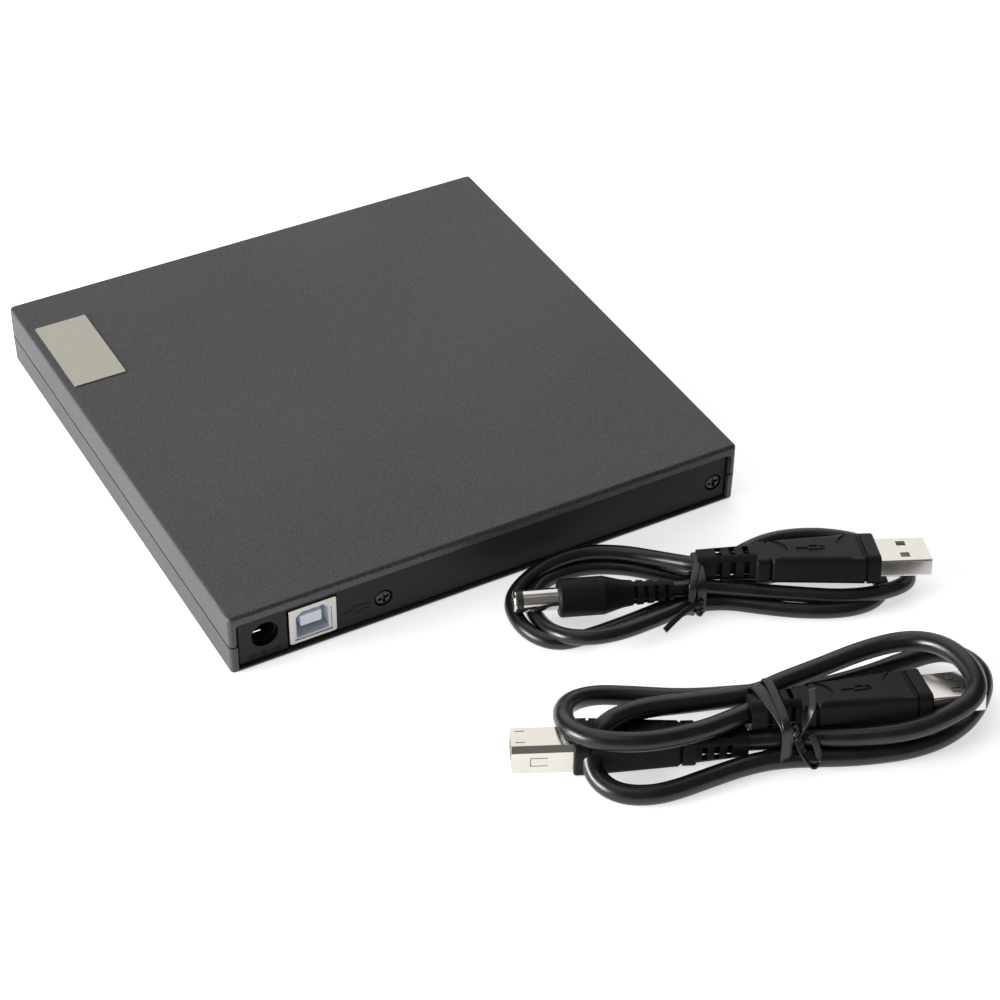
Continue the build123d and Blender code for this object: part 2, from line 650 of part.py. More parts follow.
def lead_screw():
    """Screw with a 3 mm lead, its thread shown as shallow grooves."""
    screw = rod_x(SCREW_T, ROD_Z, 5.2, 61.6, ROD_R)
    for turn in range(16):
        s = 10 + 3 * turn
        groove = rod_x(SCREW_T, ROD_Z, s, s + 1.0, ROD_R + 0.5)
        screw -= groove - rod_x(SCREW_T, ROD_Z, s, s + 1.0, ROD_R - 0.2)
    return mech(screw)


def sled_motor():
    motor = rod_x(SCREW_T, ROD_Z, -6, 7, 2.45)
    return mech(motor - rod_x(SCREW_T, ROD_Z, 5, 8, ROD_R + 0.05))


def eject_solenoid():
    frame = block(38, 51, -62, -53, 4.8, 9.4)
    return frame + rod_x(-57.5, 7.1, 36.4, 38.2, 1.2)


def latch_lever():
    """Arm that swings about the tray's pivot post; its peg hooks the chassis pin."""
    x, y = PIVOT
    arm = block(x - 1.5, x + 1.5, y - PEG_ARM - 1.2, y, 4.8, 5.8)
    arm += post(x, y, 4.8, 5.9, 2.6)
    arm += post(x, y - PEG_ARM, 3.4, 5.0, 0.8)
    return arm - post(x, y, 4, 7, 1.05)


# Cables: plugs in their own frames, with +X from the tip towards the cord

def place(tip, heading, roll=0.0):
    """The location of a plug whose tip and heading are given, rolled away about its axis."""
    side = Vector(heading.Y, -heading.X, 0)
    lean = side if side.Y < 0 else -side
    angle = math.radians(roll)
    up = lean * math.sin(angle) + Vector(0, 0, 1) * math.cos(angle)
    return Plane(origin=tip, x_dir=heading, z_dir=up).location


def section_x(width, height, radius, x0, x1):
    """A rounded bar along X between x0 and x1."""
    sketch = Plane.YZ * RectangleRounded(width, height, radius)
    return Pos(x0, 0, 0) * extrude(sketch, x1 - x0, dir=(1, 0, 0))


def fin_relief(start, length, big, small, ribs):
    """A round strain relief: a tapering sleeve with slots cut round it, down to a thin web."""
    sleeve = Cone(big, small, length, align=(Align.CENTER, Align.CENTER, Align.MIN))
    sleeve = Pos(start, 0, 0) * Rot(0, 90, 0) * sleeve
    pitch = length / ribs
    for rib in range(ribs):
        x = start + 0.12 * pitch + rib * pitch
        slot = 0.42 * pitch
        outer = rod_x(0, 0, x, x + slot, big + 1)
        web = rod_x(0, 0, x, x + slot, 0.72 * small)
        keel = block(x, x + slot, -0.8, 0.8, -big, big)
        sleeve -= outer - web - keel
    return sleeve


def tapered_bar(x0, x1, start_size, end_size, radius):
    """A rounded bar along X whose section changes from one width and height to another."""
    first = Pos(x0, 0, 0) * (Plane.YZ * RectangleRounded(*start_size, radius))
    last = Pos(x1, 0, 0) * (Plane.YZ * RectangleRounded(*end_size, radius))
    return loft([first, last])


def window_relief(start, length, big, small):
    """A squarish strain relief with three rows of windows and a plain ring at its end."""
    first, last = (2 * big, 2 * big), (2 * small, 2 * small)
    sleeve = tapered_bar(start - 0.3, start + length, first, last, 0.6 * small)
    pitch = 0.24 * length
    half = 0.66 * small
    for row in range(3):
        x = start + 0.1 * length + row * pitch
        slot = 0.42 * pitch
        for across in (1, -1):
            reach = sorted((across * 0.62 * small, across * 2 * big))
            sleeve -= block(x, x + slot, *reach, -half, half)
            sleeve -= block(x, x + slot, -half, half, *reach)
    return sleeve


def emblem(x, top, height):
    """A plain plug pictogram raised on a grip: a body, two prongs and a lead."""
    mark = block(x - 1.4, x + 1.4, -1.1, 1.1, top - 0.1, top + height)
    mark -= block(x - 1.05, x + 1.05, -0.75, 0.75, top - 1, top + 1)
    mark += block(x + 1.3, x + 4.2, -0.2, 0.2, top - 0.1, top + height)
    for y in (0.6, -0.6):
        mark += block(x - 2.8, x - 1.3, y - 0.18, y + 0.18, top - 0.1, top + height)
    return mark


def usb_grip(start, body, width, thick, relief_length, relief_big, relief_small):
    """Moulded grip of a USB plug: collar, tapering body, finger shoulder and relief."""
    end = start + body
    top = thick / 2
    waist = (0.74 * width, 0.95 * thick)
    grip = section_x(width + 0.3, thick + 0.3, 2.0, start, start + 3.3)
    grip = fillet(grip.faces().sort_by(Axis.X)[0].edges(), 0.6)
    grip += section_x(width - 0.7, thick - 0.7, 1.6, start + 3.2, start + 4.1)
    grip += tapered_bar(start + 4.0, end - 4.4, (width, thick), waist, 1.6)
    grip += tapered_bar(end - 4.4, end - 3.1, waist, (0.62 * width, 0.84 * thick), 1.3)
    shoulder = section_x(0.76 * width, 0.84 * thick, 1.2, end - 3.2, end)
    grip += fillet(shoulder.faces().sort_by(Axis.X)[-1].edges(), 0.6)
    collar_dip = Pos(start + 2.0, 0, top) * Cylinder(8.0, 0.7)
    grip -= collar_dip & block(start + 4.1, start + 12, -width, width, top - 0.4, top + 1)
    grip -= Pos(end - 3.4, 0, top) * Cylinder(0.34 * width, 1.1)
    grip += emblem(start + 0.52 * body, top - 0.2, 0.36)
    return grip + window_relief(end, relief_length, relief_big, relief_small)


def usb_a_shell(location):
    shell = section_x(12.0, 4.5, 0.5, 0, USB_A_SHELL + 0.01)
    shell -= section_x(11.4, 3.9, 0.3, -1, USB_A_SHELL + 1)
    for y in (-3.0, 3.0):
        shell -= block(5.0, 7.3, y - 1.15, y + 1.15, -4, 4)
    shell -= block(-1, USB_A_SHELL + 1, -0.06, 0.06, -4, -1.5)
    return location * shell


def usb_a_tongue(location):
    tongue = block(1.2, USB_A_SHELL, -5.5, 5.5, -1.85, -0.1)
    return location * tongue


def usb_a_grip(location, relief):
    return location * usb_grip(USB_A_SHELL + 0.01, USB_A_BODY, USB_A_WIDTH, USB_A_THICK, *relief)


def dc_plug_barrel():
    barrel = rod_x(0, 0, 0, DC_PLUG_BARREL, 2.75) - rod_x(0, 0, -1, 9, 1.25)
    barrel = chamfer(barrel.faces().sort_by(Axis.X)[0].outer_wire().edges(), 0.3)
    barrel -= rod_x(0, 0, 0.7, 1.1, 3.5) - rod_x(0, 0, 0.7, 1.1, 2.4)
    barrel -= rod_x(0, 0, 2.0, 2.3, 3.5) - rod_x(0, 0, 2.0, 2.3, 2.5)
    return place(POWER_TIP, POWER_HEADING) * barrel


def dc_plug_grip():
    front = DC_PLUG_BARREL
    end = front + DC_PLUG_GRIP
    profile = [
        (front, 0), (front, 4.2), (front + 0.5, 4.75), (front + 11.0, 4.75),
        (end - 2.4, 3.5), (end, 3.15), (end + 0.2, 3.15), (end + 0.2, 0),
    ]
    grip = revolve(make_face(Polyline(*profile, close=True)), Axis.X)
    for turn in range(12):
        if turn % 3 < 2:
            grip -= grip_dimples(front + 6.0, 4.75, 30.0 * turn)
    grip += fin_relief(end, DC_PLUG_RELIEF, 3.15, 2.5, 4)
    return place(POWER_TIP, POWER_HEADING) * grip


def grip_dimples(x, radius, angle):
    """A column of shallow dimples along the grip at one angle round it."""
    column = Pos(x, 0, radius) * Cylinder(0.22, 0.3)
    for step in range(1, 5):
        column += Pos(x + 0.85 * step, 0, radius) * Cylinder(0.22, 0.3)
    return Rot(angle, 0, 0) * column


def along_x(sketch, x0, x1):
    """Pulls an outline, drawn in YZ about the axis, from x0 to x1."""
    return Pos(x0, 0, 0) * extrude(Plane.YZ * sketch, x1 - x0, dir=(1, 0, 0))


def shrunk(outline, gap):
    """The width, height and corner cut of an outline that lies inside another by gap."""
    width, height, cut = outline
    return chamfered_outline(width - 2 * gap, height - 2 * gap, cut - 0.58 * gap)


def data_b_shell():
    """Folded shell of the square plug, with sprung tabs cut in its sides and top."""
    shell = along_x(chamfered_outline(*USB_B_PLUG), 0, USB_B_SHELL)
    shell -= along_x(shrunk(USB_B_PLUG, USB_B_SHEET), -1, USB_B_SHELL + 1)
    for z in (0.8, -1.6):
        shell -= block(4.2, 8.2, -6, 6, z, z + 0.25)
    shell -= block(4.2, 4.45, -6, 6, -1.6, 1.05)
    for y in (-1.9, 1.7):
        shell -= block(1.0, 3.2, y, y + 0.25, 2, 5)
    return place(DATA_B_TIP, DATA_B_HEADING) * shell


def data_b_core():
    core = along_x(shrunk(USB_B_PLUG, USB_B_SHEET + 0.05), 0.6, USB_B_SHELL)
    core -= block(-1, 11, -2.95, 2.95, -1.75, 1.75)
    return place(DATA_B_TIP, DATA_B_HEADING) * core


def data_b_grip():
    grip = usb_grip(USB_B_SHELL, USB_B_BODY, USB_B_WIDTH, USB_B_THICK, *USB_B_RELIEF)
    return place(DATA_B_TIP, DATA_B_HEADING) * grip


def tie_ring(centre, heading, size, grow=0.0, width=TIE_WIDTH):
    """A flat tie closed round a bundle, standing across the bundle's heading."""
    across, tall = size
    outer = section_x(across + 2 * grow, tall + 2 * grow, 3.0, -width / 2, width / 2)
    inner = section_x(across - 2 * TIE_SHEET - 2 * grow, tall - 2 * TIE_SHEET - 2 * grow, 2.6, -width, width)
    plane = Plane(origin=(centre[0], centre[1], tall / 2 + 0.1), x_dir=heading, z_dir=(0, 0, 1))
    return plane.location * (outer - inner)


def lobe(outline, hole, height):
    """One end of a hank: a closed outline pulled up from the ground, open in the middle."""
    solid = extrude(make_face(Spline(*outline, periodic=True)), height)
    if hole:
        solid -= extrude(make_face(Spline(*hole, periodic=True)), height)
    return solid


def envelope(tip, heading, roll, length, width, height):
    """The room that a plug needs, to be cut out of the hank it lies in."""
    return place(tip, heading, roll) * section_x(width, height, 1.0, -1.5, length)


POWER_LEFT = (
    (-40, 94.5), (-33, 80.5), (-22, 73.6), (-10, 73.2), (-0.5, 76), (5, 83),
    (5.6, 91), (3.5, 99), (-3, 105.8), (-14, 110.3), (-26, 110.2), (-37, 107.8),
)
POWER_LEFT_HOLE = (
    (-34, 92.5), (-30, 88.5), (-22, 82.5), (-13, 80.2), (-7.5, 84), (-4.5, 89),
    (-4, 94.5), (-6.5, 100), (-12, 103.5), (-22, 104.3), (-31, 102.5),
)
POWER_RIGHT = (
    (-44, 93.5), (-60, 89.8), (-69, 89.6), (-79, 92.6), (-87, 98), (-92.5, 104.5), (-94.5, 113),
    (-92.5, 120.5), (-86, 125.6), (-76, 126.6), (-67, 124.6), (-58, 119.6), (-49, 112.5), (-43, 106.5),
)
POWER_RIGHT_HOLE = (
    (-53, 97.5), (-61, 95.8), (-69, 95.6), (-77, 98.2), (-84, 103), (-88, 109),
    (-88, 115), (-83, 119.5), (-75, 119.5), (-66, 115.5), (-57, 109), (-50, 103.5),
)
DATA_LEFT = (
    (-33, 138), (-20, 129), (-9, 121.2), (1, 117.6), (10.5, 119), (17, 126.5), (18.6, 137),
    (17, 147), (14, 154), (8, 158.2), (0, 160.6), (-12, 161), (-26, 161.6),
)
DATA_RIGHT = (
    (-31, 141.5), (-50, 140.3), (-61, 140.2), (-72, 141.6), (-83, 144.5), (-89, 150.5), (-89.5, 159),
    (-86, 166.5), (-77, 172.6), (-66, 175.5), (-56, 175), (-45, 171.5), (-37, 167.5), (-29, 163),
)
DATA_RIGHT_HOLE = (
    (-45, 148), (-60, 147.5), (-72, 149.5), (-80, 153), (-82, 158), (-78, 163.5),
    (-70, 166.5), (-60, 167), (-50, 163.5), (-42, 158), (-38, 152),
)


def power_cord_hank():
    """The outer shape of the power cord's tied hank, cut clear of its two plugs and its tie."""
    hank = lobe(POWER_LEFT, POWER_LEFT_HOLE, 7.0) + lobe(POWER_RIGHT, POWER_RIGHT_HOLE, 7.0)
    waist = Plane(origin=(*POWER_TIE, 0), x_dir=POWER_HEADING, z_dir=(0, 0, 1)).location
    hank += waist * block(-7, 7, -6.2, 6.2, 0.7, 7.5)
    hank -= envelope(POWER_TIP, POWER_HEADING, 0, 39.4, 10.0, 10.0)
    hank -= envelope(POWER_USB_TIP, POWER_USB_HEADING, POWER_USB_ROLL, 43.9, 16.2, 8.8)
    hank -= envelope(POWER_USB_TIP, POWER_USB_HEADING, POWER_USB_ROLL, 57.8, 7.2, 7.2)
    hank -= tie_ring(POWER_TIE, POWER_HEADING, POWER_TIE_SIZE, 0.15, TIE_WIDTH + 0.4)
    return hank


def data_cord_hank():
    """The outer shape of the data cord's tied hank, cut clear of its two plugs and its tie."""
    hank = lobe(DATA_LEFT, None, 13.5) + lobe(DATA_RIGHT, DATA_RIGHT_HOLE, 14.5)
    waist = Plane(origin=(*DATA_TIE, 0), x_dir=DATA_USB_HEADING, z_dir=(0, 0, 1)).location
    hank += waist * block(-9, 9, -7.6, 7.6, 0.7, 12.5)
    hank -= envelope(DATA_B_TIP, DATA_B_HEADING, 0, 42.6, 12.2, 10.6)
    hank -= envelope(DATA_B_TIP, DATA_B_HEADING, 0, 57.0, 8.0, 8.0)
    hank -= envelope(DATA_USB_TIP, DATA_USB_HEADING, DATA_USB_ROLL, 43.9, 16.2, 8.8)
    hank -= envelope(DATA_USB_TIP, DATA_USB_HEADING, DATA_USB_ROLL, 56.5, 8.4, 8.4)
    hank -= tie_ring(DATA_TIE, DATA_USB_HEADING, DATA_TIE_SIZE, 0.15, TIE_WIDTH + 0.4)
    return hank


# Every node and the function that makes it

def all_nodes():
    power_usb = place(POWER_USB_TIP, POWER_USB_HEADING, POWER_USB_ROLL)
    data_usb = place(DATA_USB_TIP, DATA_USB_HEADING, DATA_USB_ROLL)
    nodes = {
        "bottom_cover": bottom_cover(),
        "top_cover": top_cover(),
        "rear_panel": rear_panel(),
        "rear_screws": rear_screws(),
        "rubber_feet": rubber_feet(),
        "badge_plate": badge_plate(),
        "usb_b_shell": usb_b_shell(),
        "usb_b_insert": usb_b_insert(),
        "usb_b_contacts": usb_b_contacts(),
        "dc_jack_body": dc_jack_body(),
        "dc_jack_pin": dc_jack_pin(),
        "dc_jack_spring": dc_jack_spring(),
        "bridge_board": bridge_board(),
        "bridge_parts": bridge_parts(),
        "sata_socket": sata_socket(),
        "drive_chassis": drive_chassis(),
        "drive_lid": drive_lid(),
        "lid_screws": lid_screws(),
        "interface_board": interface_board(),
        "drive_connector": drive_connector(),
        "flex_cable": flex_cable(),
        "tray": tray(),
        "front_bezel": front_bezel(),
        "eject_button": eject_button(),
        "led_lens": led_lens(),
        "tray_plate": tray_plate(),
        "mech_plate": mech_plate(),
        "main_board": main_board(),
        "spindle_motor": spindle_motor(),
        "turntable": turntable(),
        "guide_rods": guide_rods(),
        "pickup_sled": pickup_sled(),
        "lens_holder": lens_holder(),
        "lead_screw": lead_screw(),
        "sled_motor": sled_motor(),
        "eject_solenoid": eject_solenoid(),
        "latch_lever": latch_lever(),
        "dc_plug_barrel": dc_plug_barrel(),
        "dc_plug_grip": dc_plug_grip(),
        "power_usb_shell": usb_a_shell(power_usb),
        "power_usb_tongue": usb_a_tongue(power_usb),
        "power_usb_grip": usb_a_grip(power_usb, POWER_RELIEF),
        "power_cord_hank": power_cord_hank(),
        "power_tie": tie_ring(POWER_TIE, POWER_HEADING, POWER_TIE_SIZE),
        "data_b_shell": data_b_shell(),
        "data_b_core": data_b_core(),
        "data_b_grip": data_b_grip(),
        "data_usb_shell": usb_a_shell(data_usb),
        "data_usb_tongue": usb_a_tongue(data_usb),
        "data_usb_grip": usb_a_grip(data_usb, DATA_RELIEF),
        "data_cord_hank": data_cord_hank(),
        "data_tie": tie_ring(DATA_TIE, DATA_USB_HEADING, DATA_TIE_SIZE),
    }
    for side, name in ((1, "right"), (-1, "left")):
        nodes[f"rail_channel_{name}"] = rail_channel(side)
        nodes[f"slide_rail_{name}"] = slide_rail(side)
    for number, angle in enumerate(CLAW_ANGLES, 1):
        nodes[f"hub_claw_{number}"] = hub_claw(angle)
    return nodes


def write_parts():
    os.makedirs("parts", exist_ok=True)
    for name, shape in all_nodes().items():
        solids = shape if isinstance(shape, list) else [shape]
        whole = Compound(children=[s for piece in solids for s in piece.solids()])
        export_step(whole, f"parts/{name}.step")


write_parts()
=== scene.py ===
import json
import math

import bpy
from mathutils import Matrix, Vector


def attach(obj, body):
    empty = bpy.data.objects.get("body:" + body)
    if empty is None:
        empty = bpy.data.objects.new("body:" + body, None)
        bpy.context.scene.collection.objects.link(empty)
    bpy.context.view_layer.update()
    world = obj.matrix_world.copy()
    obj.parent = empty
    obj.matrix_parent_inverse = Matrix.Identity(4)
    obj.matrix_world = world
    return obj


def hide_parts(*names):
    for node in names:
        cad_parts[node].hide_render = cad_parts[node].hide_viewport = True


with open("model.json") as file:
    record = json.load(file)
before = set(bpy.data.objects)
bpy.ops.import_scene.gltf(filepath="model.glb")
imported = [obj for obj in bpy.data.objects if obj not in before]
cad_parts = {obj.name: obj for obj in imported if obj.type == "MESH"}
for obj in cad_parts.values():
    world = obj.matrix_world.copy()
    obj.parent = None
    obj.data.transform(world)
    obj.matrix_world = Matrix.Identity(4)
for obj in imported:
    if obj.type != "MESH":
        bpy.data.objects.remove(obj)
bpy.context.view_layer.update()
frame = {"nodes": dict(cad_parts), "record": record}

MM = 0.001
ROOT = "case_and_cables"
NODES = frame["nodes"]


def metres(place):
    """A place given in millimetres, in metres."""
    return tuple(value * MM for value in place)


def add_object(name, data):
    """A new object in the scene, with that data."""
    thing = bpy.data.objects.new(name, data)
    bpy.context.scene.collection.objects.link(thing)
    return thing


# Camera and light

CAMERA_AZIMUTH = math.radians(150.84)
CAMERA_ELEVATION = math.radians(39.43)
CAMERA_ROLL = math.radians(0.65)
CAMERA_DISTANCE = 0.6985
CAMERA_SHIFT = (0.03665, -0.01922)
CAMERA_LENS = 94.53
CAMERA_SENSOR = 36

# Each soft box: its place, the spot that it faces, its width and height in metres, its watts
SOFT_BOXES = {
    # What level faces mirror towards the camera
    "mirror_sheet": ((-0.38, -0.87, 0.81), (0.0, 0.04, 0.0), (1.6, 1.6), 7.9),
    # Low, on the +X side
    "side_box": ((0.95, -0.1, 0.20), (0.07, 0, 0.01), (0.6, 0.3), 18),
    "overhead_box": ((0.25, 0.0, 1.2), (0, 0.02, 0), (0.8, 0.6), 1.6),
}
WORLD_STRENGTH = 0.16


def make_camera():
    """A long lens that looks down on the rear panel and the side towards +X."""
    back = Vector((
        math.sin(CAMERA_AZIMUTH) * math.cos(CAMERA_ELEVATION),
        -math.cos(CAMERA_AZIMUTH) * math.cos(CAMERA_ELEVATION),
        math.sin(CAMERA_ELEVATION),
    ))
    right = Vector((0, 0, 1)).cross(back).normalized()
    up = back.cross(right)
    place = back * CAMERA_DISTANCE + right * CAMERA_SHIFT[0] + up * CAMERA_SHIFT[1]
    turned_right = right * math.cos(CAMERA_ROLL) + up * math.sin(CAMERA_ROLL)
    turned_up = up * math.cos(CAMERA_ROLL) - right * math.sin(CAMERA_ROLL)
    data = bpy.data.cameras.new("camera")
    data.lens = CAMERA_LENS
    data.sensor_width = CAMERA_SENSOR
    data.clip_start = 0.01
    camera = add_object("camera", data)
    axes = Matrix((turned_right, turned_up, back)).transposed()
    camera.matrix_world = Matrix.Translation(place) @ axes.to_4x4()
    bpy.context.scene.camera = camera


def area_light(name, place, aim, size, power):
    """A soft box at place, facing aim."""
    data = bpy.data.lights.new(name, "AREA")
    data.shape = "RECTANGLE"
    data.size, data.size_y = size
    data.energy = power
    light = add_object(name, data)
    light.location = place
    light.rotation_euler = (Vector(aim) - Vector(place)).to_track_quat("-Z", "Y").to_euler()


def make_lights():
    """Every soft box in the table."""
    for name, settings in SOFT_BOXES.items():
        area_light(name, *settings)


def make_world():
    """Faint white light from all round, and colours shown as they are."""
    world = bpy.data.worlds.new("studio")
    world.use_nodes = True
    background = world.node_tree.nodes["Background"]
    background.inputs["Color"].default_value = (1, 1, 1, 1)
    background.inputs["Strength"].default_value = WORLD_STRENGTH
    bpy.context.scene.world = world
    bpy.context.scene.view_settings.view_transform = "Standard"


# Materials

# Most of a noise texture's values lie between these
NOISE_LOW, NOISE_HIGH = 0.3, 0.7


class Paint:
    """A material and the small node helpers that the material functions share."""

    def __init__(self, name, roughness, metallic=0.0):
        self.material = bpy.data.materials.new(name)
        self.material.use_nodes = True
        self.nodes = self.material.node_tree.nodes
        self.links = self.material.node_tree.links
        self.shader = self.nodes["Principled BSDF"]
        self.shader.inputs["Metallic"].default_value = metallic
        self.shader.inputs["Roughness"].default_value = roughness
        self.where = self.nodes.new("ShaderNodeTexCoord").outputs["Object"]
        self.last_bump = None

    def set(self, **values):
        """Sets shader sockets, named with underscores for spaces."""
        for name, value in values.items():
            self.shader.inputs[name.replace("_", " ")].default_value = value

    def noise(self, scale, detail=2.0, stretch=(1, 1, 1)):
        """Noise over the piece; scale is in features a metre."""
        mapping = self.nodes.new("ShaderNodeMapping")
        mapping.inputs["Scale"].default_value = stretch
        self.links.new(self.where, mapping.inputs["Vector"])
        noise = self.nodes.new("ShaderNodeTexNoise")
        noise.inputs["Scale"].default_value = scale
        noise.inputs["Detail"].default_value = detail
        self.links.new(mapping.outputs["Vector"], noise.inputs["Vector"])
        return noise.outputs["Fac"]

    def wave(self, scale, distortion):
        """Wandering bands over the piece, closer together the higher the scale."""
        wave = self.nodes.new("ShaderNodeTexWave")
        wave.inputs["Scale"].default_value = scale
        wave.inputs["Distortion"].default_value = distortion
        wave.inputs["Detail"].default_value = 0.0
        self.links.new(self.where, wave.inputs["Vector"])
        return wave.outputs["Fac"]

    def colour(self, source, low, high, start=NOISE_LOW, end=NOISE_HIGH):
        """Base colour that goes from low to high as source goes from start to end."""
        ramp = self.nodes.new("ShaderNodeValToRGB")
        ramp.color_ramp.elements[0].position = start
        ramp.color_ramp.elements[1].position = end
        ramp.color_ramp.elements[0].color = (*low, 1)
        ramp.color_ramp.elements[1].color = (*high, 1)
        self.links.new(source, ramp.inputs["Fac"])
        self.links.new(ramp.outputs["Color"], self.shader.inputs["Base Color"])

    def shades(self, source, colour, darkest, brightest):
        """Base colour that drifts between two shares of one colour."""
        self.colour(source, scaled(colour, darkest), scaled(colour, brightest))

    def roughness(self, source, low, high):
        """Roughness that wanders between low and high with source."""
        span = self.nodes.new("ShaderNodeMapRange")
        span.inputs["From Min"].default_value = NOISE_LOW
        span.inputs["From Max"].default_value = NOISE_HIGH
        span.inputs["To Min"].default_value = low
        span.inputs["To Max"].default_value = high
        self.links.new(source, span.inputs["Value"])
        self.links.new(span.outputs["Result"], self.shader.inputs["Roughness"])

    def bump(self, source, height, strength=1.0):
        """Adds relief of that height in metres on top of any relief already there."""
        bump = self.nodes.new("ShaderNodeBump")
        bump.inputs["Strength"].default_value = strength
        bump.inputs["Distance"].default_value = height
        self.links.new(source, bump.inputs["Height"])
        if self.last_bump is not None:
            self.links.new(self.last_bump, bump.inputs["Normal"])
        self.last_bump = bump.outputs["Normal"]
        self.links.new(self.last_bump, self.shader.inputs["Normal"])


def scaled(colour, factor):
    return tuple(min(1.0, channel * factor) for channel in colour)


def moulded_plastic(name, colour, roughness, grain=2600, relief=0.00003, contrast=0.12, shine=0.5):
    """Plastic with a fine spark-eroded grain and a faint drift of gloss."""
    paint = Paint(name, roughness)
    fine = paint.noise(grain, 3.0)
    broad = paint.noise(14)
    paint.shades(fine, colour, 1 - contrast, 1 + contrast)
    paint.roughness(broad, roughness - 0.04, roughness + 0.04)
    paint.bump(fine, relief)
    paint.set(Specular_IOR_Level=shine)
    return paint.material


def soft_vinyl(name, colour, roughness):
    """Smooth flexible vinyl: satin, with slight ripples and a fine grain."""
    paint = Paint(name, roughness)
    ripple = paint.noise(220)
    fine = paint.noise(5200)
    paint.shades(ripple, colour, 0.85, 1.2)
    paint.roughness(ripple, roughness - 0.05, roughness + 0.07)
    paint.bump(ripple, 0.00004, 0.5)
    paint.bump(fine, 0.00001)
    return paint.material


def plated_metal(name, colour, roughness):
    """Bright plating with faint handling marks."""
    paint = Paint(name, roughness, 1.0)
    marks = paint.noise(260)
    paint.shades(marks, colour, 0.96, 1.03)
    paint.roughness(marks, roughness, roughness + 0.06)
    paint.bump(marks, 0.000004, 0.3)
    return paint.material


def rolled_sheet(name, colour, roughness, along=(1, 40, 40)):
    """Plain sheet with a brushed grain; along is how fine the grain is along each axis."""
    paint = Paint(name, roughness, 1.0)
    grain = paint.noise(160, 4.0, along)
    paint.shades(grain, colour, 0.88, 1.06)
    paint.roughness(grain, roughness - 0.06, roughness + 0.08)
    paint.bump(grain, 0.000004)
    return paint.material


def cast_metal(name, colour, roughness):
    """Die-cast metal: matt, slightly mottled."""
    paint = Paint(name, roughness, 1.0)
    cast = paint.noise(1400, 3.0)
    paint.shades(cast, colour, 0.85, 1.1)
    paint.bump(cast, 0.00002)
    return paint.material


def board_laminate(name):
    """Green solder mask with copper tracks showing through."""
    paint = Paint(name, 0.32)
    tracks = paint.wave(260, 9.0)
    paint.colour(tracks, (0.012, 0.075, 0.03), (0.02, 0.12, 0.045), 0.45, 0.55)
    paint.bump(tracks, 0.00002, 0.5)
    return paint.material


def clear_acrylic(name):
    """Slightly milky clear plastic."""
    paint = Paint(name, 0.12)
    paint.colour(paint.noise(400), (0.70, 0.76, 0.72), (0.82, 0.86, 0.83))
    paint.set(Transmission_Weight=0.7, IOR=1.49)
    return paint.material


def floor_paper(name):
    """Pale paper that glows, so that it stays nearly white in the soft shadows."""
    paint = Paint(name, 0.9)
    paint.colour(paint.noise(30), (0.88, 0.88, 0.88), (0.90, 0.90, 0.90))
    paint.set(Emission_Color=(1, 1, 1, 1), Emission_Strength=0.6)
    return paint.material


CASE_GREY = (0.037, 0.0375, 0.040)
BASE_GREY = scaled(CASE_GREY, 0.9)
SOFT_BLACK = (0.02, 0.02, 0.022)

ERODED = {"grain": 2300, "relief": 0.0001, "contrast": 0.6}
POLISHED = {"grain": 3000, "relief": 0.000004, "contrast": 0.03}

